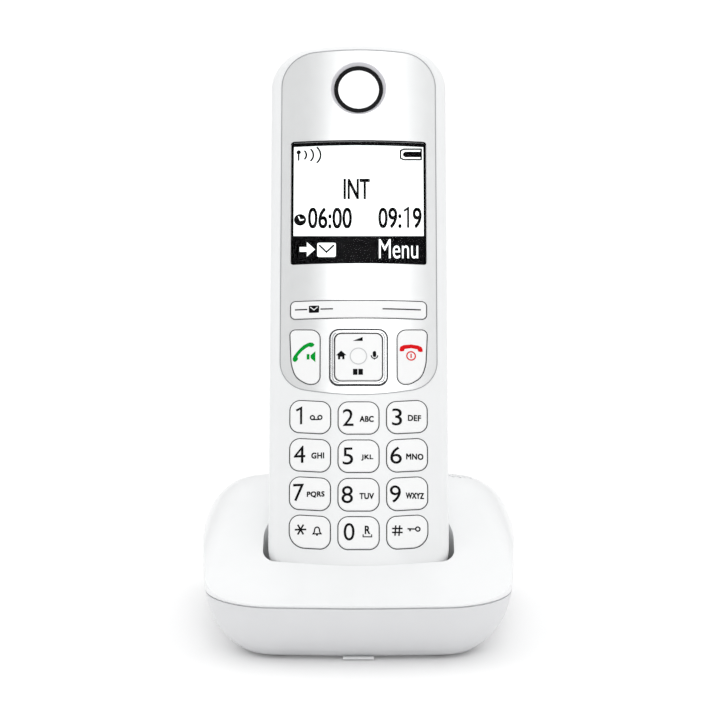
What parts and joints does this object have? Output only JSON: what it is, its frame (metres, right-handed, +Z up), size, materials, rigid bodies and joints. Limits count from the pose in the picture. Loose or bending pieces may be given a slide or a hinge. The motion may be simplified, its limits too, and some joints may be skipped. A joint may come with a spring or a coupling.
{
  "type": "cordless phone with base",
  "caption": "Bar-shaped cordless telephone handset leaning back in a rounded charging base, with a display, a number keypad and control keys.",
  "frame": {"origin": "on the table surface, under the middle of the docked set's bounding box", "axes": "+Z up; the keypad faces -Y and up; +X is the viewer's right when looking at the keypad"},
  "size_m": [0.0886, 0.1082, 0.1589],
  "materials": {
    "shell_white": "white satin-gloss moulded plastic",
    "shell_lower": "white satin moulded plastic",
    "plate_pearl": "pearl white lacquered plate",
    "key_white": "white key caps",
    "lens_clear": "clear window with a black printed border",
    "lcd_white": "white backlit liquid crystal panel",
    "ring_black": "black bright trim",
    "trim_grey": "grey satin trim",
    "mat_grey": "translucent silicone",
    "board_green": "solder-masked circuit board",
    "part_black": "black moulded component",
    "contact_metal": "gold-plated spring metal",
    "steel": "nickel-plated steel",
    "cell_sleeve": "shrink-sleeved rechargeable cell",
    "foot_rubber": "soft grey rubber pad"
  },
  "bodies": {
    "base": {"base_top_shell": "shell_white", "base_bottom_shell": "shell_lower", "line_socket": "part_black", "power_socket": "part_black", "base_pcb": "board_green", "base_speaker": "part_black", "base_antenna": "steel", "paging_switch": "part_black", "contact_carrier": "part_black", "base_screws": "steel", "front_tab": "shell_white", "base_foot_front_left": "foot_rubber", "base_foot_front_right": "foot_rubber", "base_foot_rear_left": "foot_rubber", "base_foot_rear_right": "foot_rubber"},
    "handset": {"handset_front_housing": "shell_white", "handset_rear_housing": "shell_white", "handset_faceplate": "plate_pearl", "display_lens": "lens_clear", "lcd_panel": "lcd_white", "display_backlight": "lcd_white", "earpiece_ring": "ring_black", "earpiece_disc": "plate_pearl", "earpiece_speaker": "part_black", "microphone": "part_black", "handset_pcb": "board_green", "keypad_mat": "mat_grey", "key_domes": "contact_metal", "battery_left": "cell_sleeve", "battery_right": "cell_sleeve", "battery_contacts": "steel", "handsfree_speaker": "part_black", "handset_charge_contacts": "contact_metal", "handset_screws": "steel", "handset_antenna": "steel", "control_key_frame": "trim_grey"},
    "battery_cover": {"battery_cover": "shell_white"},
    "soft_key_bar": {"soft_key_bar": "key_white"},
    "talk_key": {"talk_key": "key_white"},
    "end_key": {"end_key": "key_white"},
    "control_key_pivot": {"control_key_pivot": "contact_metal"},
    "control_key": {"control_key": "key_white"},
    "paging_key": {"paging_key": "key_white"},
    "base_contact_left": {"base_contact_left": "contact_metal"},
    "base_contact_right": {"base_contact_right": "contact_metal"},
    "key_1": {"key_1": "key_white"},
    "key_2": {"key_2": "key_white"},
    "key_3": {"key_3": "key_white"},
    "key_4": {"key_4": "key_white"},
    "key_5": {"key_5": "key_white"},
    "key_6": {"key_6": "key_white"},
    "key_7": {"key_7": "key_white"},
    "key_8": {"key_8": "key_white"},
    "key_9": {"key_9": "key_white"},
    "key_star": {"key_star": "key_white"},
    "key_0": {"key_0": "key_white"},
    "key_hash": {"key_hash": "key_white"}
  },
  "joints": [
    {"name": "handset_lift", "type": "slide", "parent": "base", "child": "handset", "axis": [0, 0.4305, 0.9026], "range_m": [0, 0.09]},
    {"name": "key_1_press", "type": "slide", "parent": "handset", "child": "key_1", "axis": [0, 0.9026, -0.4305], "range_m": [0, 0.0005], "stiffness_N_per_m": 1000},
    {"name": "key_2_press", "type": "slide", "parent": "handset", "child": "key_2", "axis": [0, 0.9026, -0.4305], "range_m": [0, 0.0005], "stiffness_N_per_m": 1000},
    {"name": "key_3_press", "type": "slide", "parent": "handset", "child": "key_3", "axis": [0, 0.9026, -0.4305], "range_m": [0, 0.0005], "stiffness_N_per_m": 1000},
    {"name": "key_4_press", "type": "slide", "parent": "handset", "child": "key_4", "axis": [0, 0.9026, -0.4305], "range_m": [0, 0.0005], "stiffness_N_per_m": 1000},
    {"name": "key_5_press", "type": "slide", "parent": "handset", "child": "key_5", "axis": [0, 0.9026, -0.4305], "range_m": [0, 0.0005], "stiffness_N_per_m": 1000},
    {"name": "key_6_press", "type": "slide", "parent": "handset", "child": "key_6", "axis": [0, 0.9026, -0.4305], "range_m": [0, 0.0005], "stiffness_N_per_m": 1000},
    {"name": "key_7_press", "type": "slide", "parent": "handset", "child": "key_7", "axis": [0, 0.9026, -0.4305], "range_m": [0, 0.0005], "stiffness_N_per_m": 1000},
    {"name": "key_8_press", "type": "slide", "parent": "handset", "child": "key_8", "axis": [0, 0.9026, -0.4305], "range_m": [0, 0.0005], "stiffness_N_per_m": 1000},
    {"name": "key_9_press", "type": "slide", "parent": "handset", "child": "key_9", "axis": [0, 0.9026, -0.4305], "range_m": [0, 0.0005], "stiffness_N_per_m": 1000},
    {"name": "key_star_press", "type": "slide", "parent": "handset", "child": "key_star", "axis": [0, 0.9026, -0.4305], "range_m": [0, 0.0005], "stiffness_N_per_m": 1000},
    {"name": "key_0_press", "type": "slide", "parent": "handset", "child": "key_0", "axis": [0, 0.9026, -0.4305], "range_m": [0, 0.0005], "stiffness_N_per_m": 1000},
    {"name": "key_hash_press", "type": "slide", "parent": "handset", "child": "key_hash", "axis": [0, 0.9026, -0.4305], "range_m": [0, 0.0005], "stiffness_N_per_m": 1000},
    {"name": "talk_key_press", "type": "slide", "parent": "handset", "child": "talk_key", "axis": [0, 0.9026, -0.4305], "range_m": [0, 0.0005], "stiffness_N_per_m": 1000},
    {"name": "end_key_press", "type": "slide", "parent": "handset", "child": "end_key", "axis": [0, 0.9026, -0.4305], "range_m": [0, 0.0005], "stiffness_N_per_m": 1000},
    {"name": "soft_key_rock", "type": "hinge", "parent": "handset", "child": "soft_key_bar", "pos_m": [0, 0.00652, 0.08607], "axis": [0, 0.4305, 0.9026], "range_deg": [-1.5, 1.5], "stiffness_Nm_per_rad": 0.3},
    {"name": "control_key_pitch", "type": "hinge", "parent": "handset", "child": "control_key_pivot", "pos_m": [0, -0.00064, 0.07408], "axis": [1, 0, 0], "range_deg": [-2.5, 2.5], "stiffness_Nm_per_rad": 0.3},
    {"name": "control_key_roll", "type": "hinge", "parent": "control_key_pivot", "child": "control_key", "pos_m": [0, -0.00064, 0.07408], "axis": [0, 0.4305, 0.9026], "range_deg": [-2.5, 2.5], "stiffness_Nm_per_rad": 0.3},
    {"name": "battery_cover_slide", "type": "slide", "parent": "handset", "child": "battery_cover", "axis": [0, -0.4305, -0.9026], "range_m": [0, 0.003]},
    {"name": "paging_key_press", "type": "slide", "parent": "base", "child": "paging_key", "axis": [0, -1, 0], "range_m": [0, 0.0007], "stiffness_N_per_m": 1000},
    {"name": "base_contact_left_press", "type": "slide", "parent": "base", "child": "base_contact_left", "axis": [0, -0.4305, -0.9026], "range_m": [0, 0.0008], "stiffness_N_per_m": 400},
    {"name": "base_contact_right_press", "type": "slide", "parent": "base", "child": "base_contact_right", "axis": [0, -0.4305, -0.9026], "range_m": [0, 0.0008], "stiffness_N_per_m": 400}
  ]
}
